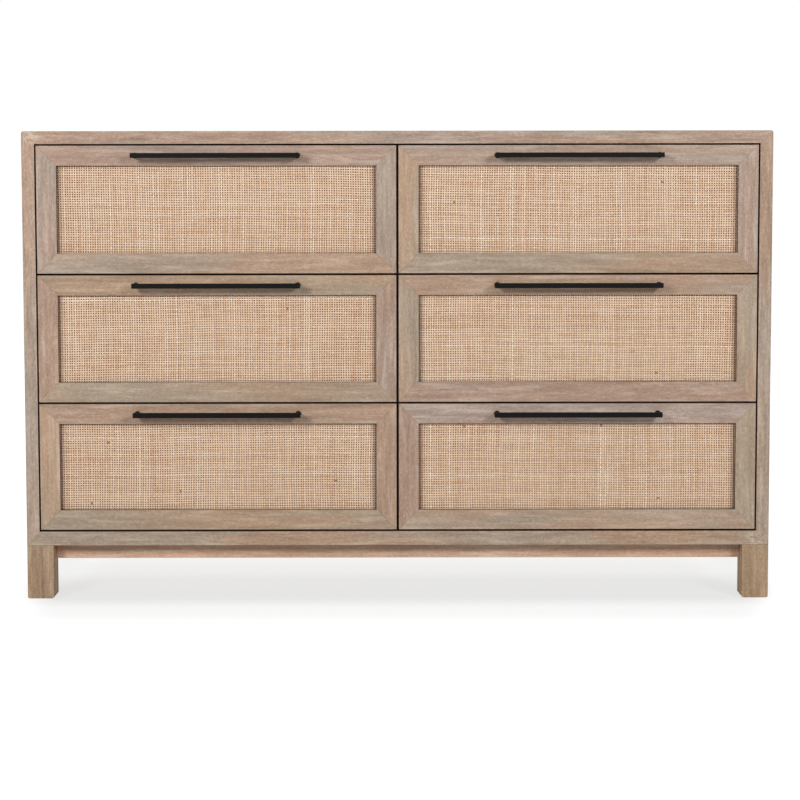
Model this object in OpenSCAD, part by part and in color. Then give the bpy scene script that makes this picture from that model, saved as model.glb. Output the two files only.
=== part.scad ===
// Six-drawer dresser: a mitred case on a base of square legs and set-back aprons, with inset
// drawer fronts of mitred frames around woven cane, black bar pulls and telescopic slides.
// Millimetres, +Z up, the front faces -Y, the origin is on the floor under the middle of the
// overall box, pulls included.

/* [Overall] */
// Width of the case
overall_w = 1524; // [1300:1:1800]
// Height from the floor to the top
overall_h = 960; // [880:1:1100]
// Depth of the case without the pulls
case_d = 508; // [500:1:600]

/* [Case] */
// Thickness of the top and the two sides
panel_t = 26; // [20:0.5:32]
// Thickness of the bottom
bottom_t = 29; // [22:0.5:34]
// Thickness of the upright between the two columns of drawers
partition_t = 20; // [16:0.5:24]
// Thickness of the back panel
back_t = 6; // [4:0.5:7]
// Radius that eases the two upper outer edges
edge_r = 5; // [2:0.5:8]

/* [Base] */
// Height of the legs, glides included
leg_h = 112; // [90:1:150]
// Width and depth of a square leg
leg_w = 54; // [44:1:70]
// Radius that eases the lower edges of a leg
foot_r = 4; // [1:0.5:6]
// Thickness of the aprons
apron_t = 18; // [14:0.5:24]
// Height of the aprons
apron_h = 33; // [30:1:60]
// Diameter of the nylon glide under each leg
glide_d = 24; // [16:1:34]
// Thickness of the glides
glide_t = 2; // [1:0.5:4]

/* [Drawer fronts] */
// Gap between the fronts and the case
side_gap = 3; // [2:0.1:4]
// Gap between two rows of fronts
row_gap = 3.6; // [2:0.1:5]
// Gap between the two columns of fronts
centre_gap = 4.4; // [3:0.1:6]
// Thickness of a front frame
front_t = 20; // [18:0.5:21]
// Face width of a frame member
member_w = 41; // [34:0.5:55]
// How far the cane lies behind the frame's face
cane_setback = 8; // [3:0.5:9]
// Thickness of the woven cane
cane_t = 1.6; // [1:0.1:2.5]
// Thickness of the panel behind the cane
backing_t = 4; // [3:0.5:6]

/* [Drawer boxes] */
// Depth of a drawer box, front to back
box_d = 450; // [300:1:454]
// Thickness of the sides, front and back of a box
box_t = 12; // [10:0.5:15]
// Thickness of the bottom of a box
box_bottom_t = 5; // [4:0.5:6]
// Height of the box's lower edge above the lower edge of its front
box_rise = 16; // [12:1:24]
// Depth of the box's upper edge below the upper edge of its front
box_drop = 26; // [26:1:60]

/* [Slides] */
// Width of the space for a slide on each side of a drawer box
slide_space = 13; // [12.7:0.1:14]
// Height of the widest slide member
slide_h = 45; // [40:1:53]
// Sheet thickness of the slide members
slide_t = 1.2; // [1:0.1:1.4]
// Length of the slide members
slide_len = 446; // [280:1:446]
// Gap between the drawer front and the front end of the slides
slide_setback = 3; // [2.5:0.5:10]

/* [Pulls] */
// Length of the bar
pull_len = 341; // [120:1:420]
// Height and depth of the square bar
pull_bar = 10; // [8:0.5:12]
// How far the bar's face stands out from the drawer front
pull_out = 32; // [26:1:40]
// Distance from the upper edge of the front to the middle of the bar
pull_drop = 20.5; // [19:0.5:22]
// Diameter of the round posts
post_d = 10; // [8:0.5:10]
// Diameter of the post's base
base_d = 12; // [11:0.5:14]
// Thickness of the post's base
base_t = 3; // [2:0.5:4]

/* [Fasteners] */
// Thread diameter of the pull screws
pull_screw_d = 4; // [3.5:0.5:4.5]
// Thread diameter of the back panel's screws
back_screw_d = 3.2; // [2.8:0.1:3.6]
// Thread diameter of the bolts that hold the legs
leg_bolt_d = 8; // [6:1:8]

/* [Hidden] */
$fn = 48;
ROWS = ["upper", "middle", "lower"];
SIDES = ["left", "right"];
SPOTS = [for (row = ROWS, side = SIDES) str(row, "_", side)];
LEGS = ["front_left_leg", "front_right_leg", "rear_left_leg", "rear_right_leg"];
DRAWER_PARTS = [
    "front_frame", "cane_panel", "backing_panel", "drawer_box", "pull_handle",
    "drawer_slides", "middle_slides",
];

WOOD = [0.70, 0.61, 0.54];
FRONT_WOOD = [0.68, 0.60, 0.53];
PLY = [0.80, 0.71, 0.57];
CANE = [0.81, 0.70, 0.58];
BLACK = [0.13, 0.13, 0.12];
ZINC = [0.74, 0.74, 0.73];
NYLON = [0.88, 0.87, 0.84];

// Overall box: the pulls stand in front of the case
front_y = -(case_d - pull_out) / 2;
back_y = front_y + case_d;
side_x = overall_w / 2;

// The hollow of the case
inner_x = side_x - panel_t;
inner_bottom = leg_h + bottom_t;
inner_top = overall_h - panel_t;

// Rebate round the back of the case, where the back panel lies below the surface
rebate_w = 8;
back_inset = 3;
rebate_d = back_t + back_inset;
rebate_y = back_y - rebate_d;
screw_clear = 0.1;
screw_depth = 15;
back_head_d = 7;
back_head_t = 1.8;

// Drawer fronts
front_w = inner_x - side_gap - centre_gap / 2;
front_h = (inner_top - inner_bottom - side_gap - 3 * row_gap) / 3;
front_pitch = front_h + row_gap;
front_x = side_gap + front_w / 2 - inner_x;
partition_y = front_y + front_t + 2;
lip_w = 8;
glue = 0.1;
panel_play = 0.3;

// Drawer boxes, centred in the opening between a side and the partition
opening_w = inner_x - partition_t / 2;
box_w = opening_w - 2 * slide_space;
box_x = -(partition_t + opening_w) / 2;
box_h = front_h - box_rise - box_drop;
groove_d = 6;
groove_rise = 12;
box_y = front_y + front_t;

// Slides: each member nests in the one outside it, with room for the balls
slide_y = box_y + slide_setback;
ball_space = 4;
middle_h = slide_h - 2 * slide_t - 2 * ball_space;
drawer_member_h = middle_h - 2 * slide_t - 2 * ball_space;
web_step = 2;

// Pulls
post_inset = base_d / 2;
pull_screw_grip = 12;
pull_head_d = 8;
pull_head_t = 2.6;

// Base
brace_leg = 70;
brace_face = brace_leg / sqrt(2);
brace_h = 24;
brace_z = leg_h - apron_h / 2 - brace_h / 2;
bolt_bite = 26;
washer_t = 1.6;
bolt_head_t = 5.5;

// A block between two corners
module block(lo, hi) translate(lo) cube(hi - lo);

// Extrudes an outline, drawn as seen from the front, from y0 back to y1
module along_y(y0, y1) translate([0, y1, 0]) rotate([90, 0, 0])
    linear_extrude(height = y1 - y0) children();

// A round bar that runs back from y0 to y1
module rod_y(d, x, z, y0, y1) translate([x, y1, z]) rotate([90, 0, 0])
    cylinder(d = d, h = y1 - y0);

// The column of a spot, and the lower edge of its front and the middle of its slides
function column(i) = i % 2;
function front_z(i) = inner_bottom + row_gap + (2 - floor(i / 2)) * front_pitch;
function slide_z(i) = front_z(i) + box_rise + box_h / 2;

// Points of the back panel's screws, as [x, z]
function spread(a, b, n) = [for (k = [0:n - 1]) a + (b - a) * k / (n - 1)];
screw_inset = 150;
upright_z = spread(inner_bottom + screw_inset, inner_top - screw_inset, 3);
screw_x = inner_x + rebate_w / 2;
screw_top = inner_top + rebate_w / 2;
screw_bottom = inner_bottom - rebate_w / 2;
back_screw_points = concat(
    [for (x = spread(-inner_x + 40, inner_x - 40, 6), z = [screw_bottom, screw_top]) [x, z]],
    [for (x = [-screw_x, 0, screw_x], z = upright_z) [x, z]]
);

module back_screw_holes() {
    for (p = back_screw_points)
        rod_y(back_screw_d + 2 * screw_clear, p[0], p[1], rebate_y - screw_depth, back_y);
}

// The outside of the case as seen from the front, with eased upper corners
module case_outline() {
    translate([-side_x, leg_h]) square([overall_w, overall_h - leg_h - edge_r]);
    translate([edge_r - side_x, leg_h]) square([overall_w - 2 * edge_r, overall_h - leg_h]);
    for (x = [edge_r - side_x, side_x - edge_r])
        translate([x, overall_h - edge_r]) circle(r = edge_r);
}

// One panel of the case: an outline with mitred ends, cut by the rebate and the screw holes
module case_panel(points) {
    difference() {
        intersection() {
            along_y(front_y, back_y) case_outline();
            along_y(front_y, back_y) polygon(points);
        }
        block(
            [-inner_x - rebate_w, rebate_y, inner_bottom - rebate_w],
            [inner_x + rebate_w, back_y + 1, inner_top + rebate_w]
        );
        back_screw_holes();
    }
}

module top_panel() {
    color(WOOD) case_panel([
        [-side_x, overall_h], [side_x, overall_h], [inner_x, inner_top], [-inner_x, inner_top],
    ]);
}

module bottom_panel() {
    color(WOOD) case_panel([
        [-side_x, leg_h], [-inner_x, inner_bottom], [inner_x, inner_bottom], [side_x, leg_h],
    ]);
}

module side_panel(side) {
    color(WOOD) case_panel([
        [side * side_x, leg_h], [side * inner_x, inner_bottom],
        [side * inner_x, inner_top], [side * side_x, overall_h],
    ]);
}

module centre_partition() {
    color(WOOD) difference() {
        block(
            [-partition_t / 2, partition_y, inner_bottom],
            [partition_t / 2, rebate_y, inner_top]
        );
        back_screw_holes();
    }
}

module back_panel() {
    edge = rebate_w - panel_play;
    color(PLY) difference() {
        block(
            [-inner_x - edge, rebate_y, inner_bottom - edge],
            [inner_x + edge, rebate_y + back_t, inner_top + edge]
        );
        back_screw_holes();
    }
}

module back_screws() {
    head_y = rebate_y + back_t;
    color(ZINC) for (p = back_screw_points) {
        rod_y(back_screw_d, p[0], p[1], rebate_y - screw_depth + 1, head_y);
        rod_y(back_head_d, p[0], p[1], head_y, head_y + back_head_t);
    }
}

// The inner corner of a leg, where sx and sy are -1 or 1 for left or right, front or rear
function leg_corner(sx, sy) = [
    sx * (side_x - leg_w),
    sy > 0 ? back_y - leg_w : front_y + leg_w,
    brace_z,
];

// The line of a leg bolt, from the brace through that corner towards the middle of the leg
module at_leg_bolt(sx, sy) {
    translate(leg_corner(sx, sy) + [0, 0, brace_h / 2])
        rotate([0, 90, atan2(sy, sx)]) children();
}

module leg_bolt_holes() {
    for (sx = [-1, 1], sy = [-1, 1])
        at_leg_bolt(sx, sy) translate([0, 0, -brace_face - 1])
            cylinder(d = leg_bolt_d + 2 * screw_clear, h = brace_face + bolt_bite + 2);
}

module leg(sx, sy) {
    x0 = sx > 0 ? side_x - leg_w : -side_x;
    y0 = sy > 0 ? back_y - leg_w : front_y;
    color(WOOD) difference() {
        union() {
            block([x0, y0, glide_t + foot_r], [x0 + leg_w, y0 + leg_w, leg_h]);
            block([x0 + foot_r, y0, glide_t], [x0 + leg_w - foot_r, y0 + leg_w, leg_h]);
            for (x = [x0 + foot_r, x0 + leg_w - foot_r])
                rod_y(2 * foot_r, x, glide_t + foot_r, y0, y0 + leg_w);
        }
        leg_bolt_holes();
    }
}

// An apron across the front or the back, flush with the inner faces of the legs
module long_apron(y0) {
    color(WOOD) difference() {
        block([leg_w - side_x, y0, leg_h - apron_h], [side_x - leg_w, y0 + apron_t, leg_h]);
        leg_bolt_holes();
    }
}

module side_apron(x0) {
    color(WOOD) difference() {
        block(
            [x0, front_y + leg_w, leg_h - apron_h],
            [x0 + apron_t, back_y - leg_w, leg_h]
        );
        leg_bolt_holes();
    }
}

// Triangular blocks inside the corners of the base, each with the bolt that draws in its leg
module corner_braces() {
    for (sx = [-1, 1], sy = [-1, 1]) {
        color(PLY) difference() {
            translate(leg_corner(sx, sy)) linear_extrude(height = brace_h)
                polygon([[0, 0], [-sx * brace_leg, 0], [0, -sy * brace_leg]]);
            leg_bolt_holes();
        }
        color(ZINC) at_leg_bolt(sx, sy) translate([0, 0, -brace_face - glue]) {
            cylinder(d = leg_bolt_d, h = brace_face + bolt_bite);
            translate([0, 0, -washer_t]) cylinder(d = 2.2 * leg_bolt_d, h = washer_t);
            translate([0, 0, -washer_t - bolt_head_t])
                cylinder(d = 1.85 * leg_bolt_d, h = bolt_head_t, $fn = 6);
        }
    }
}

module foot_glides() {
    reach = leg_w / 2;
    color(NYLON) for (x = [reach - side_x, side_x - reach], y = [front_y + reach, back_y - reach])
        translate([x, y, 0]) cylinder(d = glide_d, h = glide_t);
}

// Moves a left-hand drawer's piece to its own column
module in_column(i) mirror([column(i), 0, 0]) children();

// One mitred member of a front frame, with its rebate and its half of the glue line
module frame_member(points, z0) {
    step = member_w - lip_w;
    x0 = front_x - front_w / 2;
    difference() {
        translate([x0, 0, z0]) along_y(front_y, front_y + front_t) polygon(points);
        block(
            [x0 + step, front_y + cane_setback, z0 + step],
            [x0 + front_w - step, front_y + front_t + 1, z0 + front_h - step]
        );
        for (x = pull_post_x())
            rod_y(
                pull_screw_d + 4 * screw_clear, x, z0 + front_h - pull_drop,
                front_y - 1, front_y + front_t + 1
            );
    }
}

module front_frame(i) {
    m = member_w;
    g = glue;
    w = front_w;
    h = front_h;
    sill = [[g, 0], [w - g, 0], [w - m - g, m], [m + g, m]];
    stile = [[0, g], [m, m + g], [m, h - m - g], [0, h - g]];
    color(FRONT_WOOD) in_column(i) {
        frame_member(sill, front_z(i));
        frame_member([for (p = sill) [p[0], h - p[1]]], front_z(i));
        frame_member(stile, front_z(i));
        frame_member([for (p = stile) [w - p[0], p[1]]], front_z(i));
    }
}

// A sheet that lies in the frame's rebate
module rebate_sheet(i, y0, t) {
    step = member_w - lip_w + panel_play;
    in_column(i) block(
        [front_x - front_w / 2 + step, y0, front_z(i) + step],
        [front_x + front_w / 2 - step, y0 + t, front_z(i) + front_h - step]
    );
}

module cane_panel(i) {
    color(CANE) rebate_sheet(i, front_y + cane_setback, cane_t);
}

module backing_panel(i) {
    color(PLY) rebate_sheet(i, front_y + cane_setback + cane_t, backing_t);
}

// Sides, front, back and bottom of a drawer box, each a separate board
module drawer_box(i) {
    x0 = box_x - box_w / 2;
    x1 = box_x + box_w / 2;
    y1 = box_y + box_d;
    z0 = front_z(i) + box_rise;
    z1 = z0 + box_h;
    groove_z = z0 + groove_rise;
    color(PLY) in_column(i) {
        difference() {
            union() {
                block([x0, box_y, z0], [x0 + box_t, y1, z1]);
                block([x1 - box_t, box_y, z0], [x1, y1, z1]);
                block([x0 + box_t + glue, box_y, z0], [x1 - box_t - glue, box_y + box_t, z1]);
                block([x0 + box_t + glue, y1 - box_t, z0], [x1 - box_t - glue, y1, z1]);
            }
            block(
                [x0 + box_t - groove_d, box_y + box_t - groove_d, groove_z - glue],
                [x1 - box_t + groove_d, y1 - box_t + groove_d, groove_z + box_bottom_t + glue]
            );
        }
        block(
            [x0 + box_t - groove_d + glue, box_y + box_t - groove_d + glue, groove_z],
            [x1 - box_t + groove_d - glue, y1 - box_t + groove_d - glue, groove_z + box_bottom_t]
        );
    }
}

// Middles of the two posts of a left-hand drawer's pull
function pull_post_x() = [
    front_x - pull_len / 2 + post_inset,
    front_x + pull_len / 2 - post_inset,
];

// The bar, its two posts and the screws that hold them from inside the front
module pull_handle(i) {
    z = front_z(i) + front_h - pull_drop;
    bar_y = front_y - pull_out;
    color(BLACK) in_column(i) {
        block(
            [front_x - pull_len / 2, bar_y, z - pull_bar / 2],
            [front_x + pull_len / 2, bar_y + pull_bar, z + pull_bar / 2]
        );
        for (x = pull_post_x()) {
            difference() {
                union() {
                    rod_y(post_d, x, z, bar_y + pull_bar + glue, front_y);
                    rod_y(base_d, x, z, front_y - base_t, front_y);
                }
                rod_y(
                    pull_screw_d + 2 * screw_clear, x, z,
                    front_y - pull_screw_grip - 1, front_y + 1
                );
            }
            rod_y(pull_screw_d, x, z, front_y - pull_screw_grip, front_y + front_t + glue);
            rod_y(
                pull_head_d, x, z,
                front_y + front_t + glue, front_y + front_t + glue + pull_head_t
            );
        }
    }
}

// A channel that lies along Y: web against x0, flanges towards +X, height h, depth d
module channel(x0, z, h, d) {
    t = slide_t;
    translate([x0, 0, z]) along_y(slide_y, slide_y + slide_len) polygon([
        [0, -h / 2], [d, -h / 2], [d, t - h / 2], [t, t - h / 2],
        [t, h / 2 - t], [d, h / 2 - t], [d, h / 2], [0, h / 2],
    ]);
}

// A pair of slide members, one on each side of a left-hand drawer box
module slide_pair(i, inset, h, d) {
    wall = box_x - opening_w / 2;
    in_column(i) {
        channel(wall + inset, slide_z(i), h, d);
        translate([2 * box_x, 0, 0]) mirror([1, 0, 0]) channel(wall + inset, slide_z(i), h, d);
    }
}

// The members on the case's walls, two for each drawer
module case_slides() {
    color(ZINC) for (i = [0:len(SPOTS) - 1]) slide_pair(i, 0, slide_h, slide_space - 1.5);
}

module middle_slides(i) {
    color(ZINC) slide_pair(i, web_step, middle_h, slide_space - web_step - 1);
}

// The members on the drawer box, with their webs against it
module drawer_slides(i) {
    box_side = box_x - box_w / 2;
    d = slide_space - web_step - slide_t - 1;
    color(ZINC) in_column(i) {
        translate([2 * box_side, 0, 0]) mirror([1, 0, 0])
            channel(box_side, slide_z(i), drawer_member_h, d);
        channel(box_side + box_w, slide_z(i), drawer_member_h, d);
    }
}

top_panel();
side_panel(-1);  // left_side_panel
side_panel(1);  // right_side_panel
bottom_panel();
centre_partition();
back_panel();
back_screws();
case_slides();
leg(-1, -1);  // front_left_leg
leg(1, -1);  // front_right_leg
leg(-1, 1);  // rear_left_leg
leg(1, 1);  // rear_right_leg
long_apron(front_y + leg_w - apron_t);  // front_apron
long_apron(back_y - leg_w);  // rear_apron
side_apron(leg_w - apron_t - side_x);  // left_apron
side_apron(side_x - leg_w);  // right_apron
corner_braces();
foot_glides();
for (i = [0:len(SPOTS) - 1]) {
    front_frame(i);
    cane_panel(i);
    backing_panel(i);
    drawer_box(i);
    pull_handle(i);
    drawer_slides(i);
    middle_slides(i);
}
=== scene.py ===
"""Looks of the six-drawer cane-front dresser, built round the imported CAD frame.

Metres, +Z up, the fronts face -Y. Every wooden member is its own closed solid with eased edges.
Each vertex carries its own wood coordinates (along the grain, across it, into the board), so one
material runs the grain along every member and changes direction at each mitre.
"""

import math
import random

import bmesh
import bpy
import numpy as np
from mathutils import Matrix, Vector


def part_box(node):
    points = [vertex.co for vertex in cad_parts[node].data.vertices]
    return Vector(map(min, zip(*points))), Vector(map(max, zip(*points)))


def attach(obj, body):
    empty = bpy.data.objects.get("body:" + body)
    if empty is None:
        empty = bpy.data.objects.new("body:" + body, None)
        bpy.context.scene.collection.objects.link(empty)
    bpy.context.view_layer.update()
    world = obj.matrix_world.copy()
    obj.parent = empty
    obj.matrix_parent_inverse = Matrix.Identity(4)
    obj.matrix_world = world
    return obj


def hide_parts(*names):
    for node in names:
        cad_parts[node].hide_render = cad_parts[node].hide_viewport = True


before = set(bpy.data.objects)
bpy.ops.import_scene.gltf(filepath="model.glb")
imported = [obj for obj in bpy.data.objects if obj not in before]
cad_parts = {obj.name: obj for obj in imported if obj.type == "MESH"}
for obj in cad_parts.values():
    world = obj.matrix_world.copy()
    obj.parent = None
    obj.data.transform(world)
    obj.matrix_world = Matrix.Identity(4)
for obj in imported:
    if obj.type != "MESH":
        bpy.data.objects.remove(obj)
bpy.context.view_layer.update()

MM = 0.001
TOUCH = 1e-6
ROWS = ("upper", "middle", "lower")
SPOTS = [(f"{row}_{side}", side) for row in ROWS for side in ("left", "right")]

# Finish and painted shade. A face's value is above 0 where the wash lies thick on worn edges,
# and below 0 where shade is painted on gap walls, inner faces and front edges.
FULL_PAINTED_SHADE = -1.0
HALF_PAINTED_SHADE = -0.35
EDGE_PAINTED_SHADE = -0.7
# The colour that the painted shade in gaps and recesses darkens towards.
PAINTED_SHADE_COLOUR = (60, 43, 33)
STAVE_W = 96 * MM
SEAM_W = 0.5 * MM
GRAIN_SLANT = 0.012
GRAIN_SHIFT = 30.0
VALUE_SPREAD = 0.05
BLUE_SPREAD = 0.14

# Eased edges
FRAME_EASE = 0.4 * MM
CASE_EASE = 0.4 * MM
MITRE_EASE = 0.3 * MM
BOARD_EASE = 0.8 * MM
CORNER_R = 5 * MM
FOOT_R = 4 * MM
LEG_EASE = 1.8 * MM
LONG_EDGE = 20 * MM
MITRE_AREA = 6e-4

# Front frames
MEMBER_W = 41 * MM
LIP_W = 8 * MM
GLUE = 0.05 * MM
REBATE_W = 8 * MM

# Dovetails of the drawer boxes
BOX_T = 12 * MM
BOX_BOTTOM_T = 5 * MM
GROOVE_RISE = 12 * MM
GROOVE_D = 3 * MM
TAILS = 5
PIN_TIP = 7 * MM
PIN_ROOT = 13 * MM

# Weave of the cane
CANE_PITCH_X = 4.93 * MM
CANE_PITCH_Z = 4.82 * MM
STRAND_W = 2.86 * MM
STRAND_T = 0.6 * MM
STRAND_LIFT = 0.33 * MM
STRAND_TOP = 0.74
STRAND_HOLD = 0.29
WIDTH_SPREAD = (-0.13, 0.10)
WIDTH_WAVER = 0.06
OFF_LINE = 0.14 * MM
LIGHTNESS = (0.43, 0.16)
WANDER = 0.16 * MM
WAVE = 0.5 * MM
WAVE_FADE = 20 * MM
CANE_LEAN = 0.007
SCAR_CHANCE = 0.0003
# Painted shade on the cane beside the frame's side lips: its strength and reach.
CANE_EDGE_SHADE = 0.68
CANE_EDGE_SHADE_REACH = 13 * MM

# Fasteners and corner blocks
BACK_SCREW_R = 3.5 * MM
BACK_SCREWS_ACROSS = 6
BACK_SCREWS_UP = 3
BACK_SCREW_MARGIN = (40 * MM, 150 * MM)
CROSS_ARM = 0.22
CROSS_WAIST = 0.36
BLOCK_REACH = 70 * MM
BLOCK_GAP = 0.1 * MM

# Pulls
BAR_W = 10 * MM
POST_INSET = 6 * MM
PULL_SCREW_R = 4 * MM

# Slides
SHEET_T = 1.2 * MM
SLIDE_BEND = 1.2 * MM
BALL_R = 1.9 * MM
BALLS = 9
BALL_DEPTH = 4.8 * MM
CAGE_W = 3.4 * MM
CAGE_T = 0.6 * MM
CAGE_END = 4 * MM
RACE_RISE = 2 * MM
OUTER_RACE = (0.55, 0.98)
INNER_RACE = (0.02, 0.45)
MIDDLE_DEPTH = 10 * MM
OUTER_DEPTH = 11.5 * MM
OUTER_H = 45 * MM
SLIDE_SCREWS = 4
SLIDE_SCREW_R = 3.6 * MM
SLIDE_SCREW_H = 2.0 * MM
SLIDE_SCREW_INSET = 35 * MM

# Camera and light
CAMERA_DISTANCE = 4.0
CAMERA_X = 0.003
CAMERA_HEIGHT = 0.86
CAMERA_PITCH = 4.17
CAMERA_YAW = -0.03
CAMERA_ROLL = -0.08
CAMERA_LENS = 88.5
CAMERA_SHIFT = -0.0954
AIR_LIGHT = 0.14
FLOOR_GLOW = 1.0
NEAR_GLOW = 0.71
UNDER_GLOW = 0.83
FLOOR_BOUNCE = 0.50
FLOOR_R = 60.0

# Painted shadow: the floor's glow is dimmed round the dresser.
# Floor shade. Each pair says where a ramp starts and ends: the first from the case's side, the
# others from its front.
SHADE_SPREAD = 0.19
SHADE_SIDE = (0.05, -0.06)
SHADE_NEAR = (-0.10, 0.02)
SHADE_FAR = (-0.31, -0.12)
SHADE_UNDER = (0.10, 0.30)
NEAR_SHARE = 0.45
SHADE_BACK_Y = 0.7

# Each light's name, azimuth, elevation, distance, size and strength
LIGHTS = (
    ("soft_box_left", -33, 20, 4.5, 0.95, 4.38),
    ("soft_box_right", 33, 20, 4.5, 0.95, 3.92),
    ("back_fill", 180, 35, 5.0, 3.0, 5.0),
)

case_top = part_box("top_panel")
case_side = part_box("left_side_panel")
case_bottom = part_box("bottom_panel")
FRONT_Y, BACK_Y = case_top[0].y, case_top[1].y
SIDE_X, INNER_X = -case_side[0].x, -case_side[1].x
CASE_TOP, INNER_TOP = case_top[1].z, case_top[0].z
CASE_FOOT, INNER_FOOT = case_bottom[0].z, case_bottom[1].z
REBATE_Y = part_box("back_panel")[0].y


# ---------------------------------------------------------------- solids

def loft(loops):
    """A closed solid through rings of points, with flat ends. Doubled points are merged."""
    bm = bmesh.new()
    rings = [[bm.verts.new(p) for p in loop] for loop in loops]
    for one, two in zip(rings, rings[1:]):
        for k in range(len(one)):
            n = (k + 1) % len(one)
            bm.faces.new((one[k], one[n], two[n], two[k]))
    bm.faces.new(rings[0])
    bm.faces.new(rings[-1])
    bmesh.ops.remove_doubles(bm, verts=bm.verts, dist=TOUCH)
    bmesh.ops.recalc_face_normals(bm, faces=bm.faces)
    bm.faces.layers.float.new("worn")
    return bm


def prism(outline, axis, low, high):
    """Extrudes a 2D outline along an axis. The outline gives the other two axes in order."""
    def place(point, level):
        spot = list(point)
        spot.insert("xyz".index(axis), level)
        return spot
    return loft([[place(p, level) for p in outline] for level in (low, high)])


def bevel(bm, edges, width, segments=3, wear_and_shade_value=1.0):
    """Rounds the edges and gives the new faces a value: wear above 0, painted shade below 0."""
    worn = bm.faces.layers.float["worn"]
    made = bmesh.ops.bevel(
        bm, geom=edges, offset=width, offset_type="OFFSET", segments=segments,
        profile=0.5, affect="EDGES", clamp_overlap=True,
    )
    for face in made["faces"]:
        face[worn] = wear_and_shade_value


def board(lo, hi, ease=BOARD_EASE, segments=2):
    """A straight board with all its edges eased."""
    corners = [(lo[0], lo[1]), (hi[0], lo[1]), (hi[0], hi[1]), (lo[0], hi[1])]
    bm = prism(corners, "z", lo[2], hi[2])
    bevel(bm, list(bm.edges), ease, segments)
    return bm


def turned(profile, centre, axis, outline=None, shaped=(), steps=32):
    """A turned solid through (radius, height along the axis). The rings numbered in shaped take
    their radius from outline(turn) as well: a hexagon or a cross recess."""
    axis = Vector(axis).normalized()
    side = axis.orthogonal().normalized()
    other = axis.cross(side)
    loops = []
    for number, (radius, height) in enumerate(profile):
        ring = []
        for k in range(steps):
            turn = 2 * math.pi * k / steps
            r = radius * (outline(turn) if number in shaped else 1)
            way = side * math.cos(turn) + other * math.sin(turn)
            ring.append(Vector(centre) + axis * height + way * r)
        loops.append(ring)
    return loft(loops)


def hexagon(turn):
    """Radius of a hexagon, as a share of its corner radius."""
    part = (turn + math.pi / 6) % (math.pi / 3) - math.pi / 6
    return math.cos(math.pi / 6) / math.cos(part)


def cross(turn):
    """Radius of a cross recess, as a share of its arm's length."""
    part = (turn + math.pi / 4) % (math.pi / 2) - math.pi / 4
    return 1.0 if abs(part) < CROSS_ARM else CROSS_WAIST


def ease_mitred(bm, front, width):
    """Eases a mitred member: its long front edges well, with painted shade on them, its mitre edges
    only slightly.
    """
    bm.normal_update()
    cuts = [
        (f.normal.copy(), f.verts[0].co.copy()) for f in bm.faces
        if abs(f.normal.y) < 0.01 and min(abs(f.normal.x), abs(f.normal.z)) > 0.5
        and f.calc_area() > MITRE_AREA
    ]

    def in_cut(edge):
        return any(
            all(abs((v.co - point).dot(normal)) < TOUCH for v in edge.verts)
            for normal, point in cuts
        )

    def depth(edge):
        return max(v.co.y for v in edge.verts) - front

    long_edges = [e for e in bm.edges if depth(e) < TOUCH and not in_cut(e)]
    # Painted shade on the long front edges, so the gaps look darker and wider.
    bevel(bm, long_edges, width, wear_and_shade_value=EDGE_PAINTED_SHADE)
    bevel(bm, [e for e in bm.edges if depth(e) < width * 1.01 and in_cut(e)], MITRE_EASE, 1, 0.25)


def paint_shade(bm, chosen, wear_and_shade_value=FULL_PAINTED_SHADE, most_forward=0.1):
    """Paints shade on the chosen faces, standing in for the shade in gaps and recesses. Faces that
    turn further forward or back than most_forward are left alone."""
    worn = bm.faces.layers.float["worn"]
    bm.normal_update()
    for face in bm.faces:
        if abs(face.normal.y) < most_forward and chosen(face.calc_center_median()):
            face[worn] = wear_and_shade_value


class Piece:
    """Gathers solids into one object, with wood coordinates and a tone for each solid."""

    def __init__(self, name, body, replaced, slot):
        self.name, self.body, self.replaced, self.slot = name, body, replaced, slot
        self.rng = random.Random(name)
        self.points, self.grain, self.tone = [], [], []
        self.faces, self.worn, self.index = [], [], []

    def add(self, bm, along="x", material=0):
        """Adds a solid whose grain runs along an axis, then frees it."""
        rng = self.rng
        a = "xyz".index(along)
        across, into = {0: (2, 1), 1: (0, 2), 2: (0, 1)}[a]
        slant = rng.uniform(-GRAIN_SLANT, GRAIN_SLANT)
        shift = [rng.uniform(0, GRAIN_SHIFT) for _ in range(3)]
        tone = (rng.random(), rng.uniform(-1, 1), rng.random())
        start = len(self.points)
        worn = bm.faces.layers.float["worn"]
        bm.verts.index_update()
        for v in bm.verts:
            p = v.co
            self.points.append(p[:])
            self.grain.append((
                p[a] + slant * p[across] + shift[0],
                p[across] - slant * p[a] + shift[1],
                p[into] + shift[2],
            ))
            self.tone.append(tone)
        for face in bm.faces:
            self.faces.append([start + v.index for v in face.verts])
            self.worn.append(face[worn])
            self.index.append(material)
        bm.free()

    def build(self, *materials):
        """Makes the object, puts it on its body and hides the CAD parts it replaces."""
        mesh = bpy.data.meshes.new(self.name)
        mesh.from_pydata(self.points, [], self.faces)
        for name, values in (("grain", self.grain), ("tone", self.tone)):
            layer = mesh.attributes.new(name, "FLOAT_VECTOR", "POINT")
            layer.data.foreach_set("vector", np.array(values, np.float32).ravel())
        layer = mesh.attributes.new("worn", "FLOAT", "FACE")
        layer.data.foreach_set("value", np.array(self.worn, np.float32))
        mesh.polygons.foreach_set("material_index", self.index)
        piece = place(self.name, mesh, self.body, self.replaced, self.slot, materials)
        piece.modifiers.new("face_normals", "WEIGHTED_NORMAL").keep_sharp = True
        return piece


def place(name, mesh, body, replaced, slot, materials):
    """Links a mesh as a smooth object that rides on a body and hides the CAD nodes it replaces."""
    mesh.polygons.foreach_set("use_smooth", [True] * len(mesh.polygons))
    for material in materials:
        mesh.materials.append(material)
    mesh.update()
    piece = bpy.data.objects.new(name, mesh)
    bpy.context.scene.collection.objects.link(piece)
    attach(piece, body)
    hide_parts(*replaced)
    return piece


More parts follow.
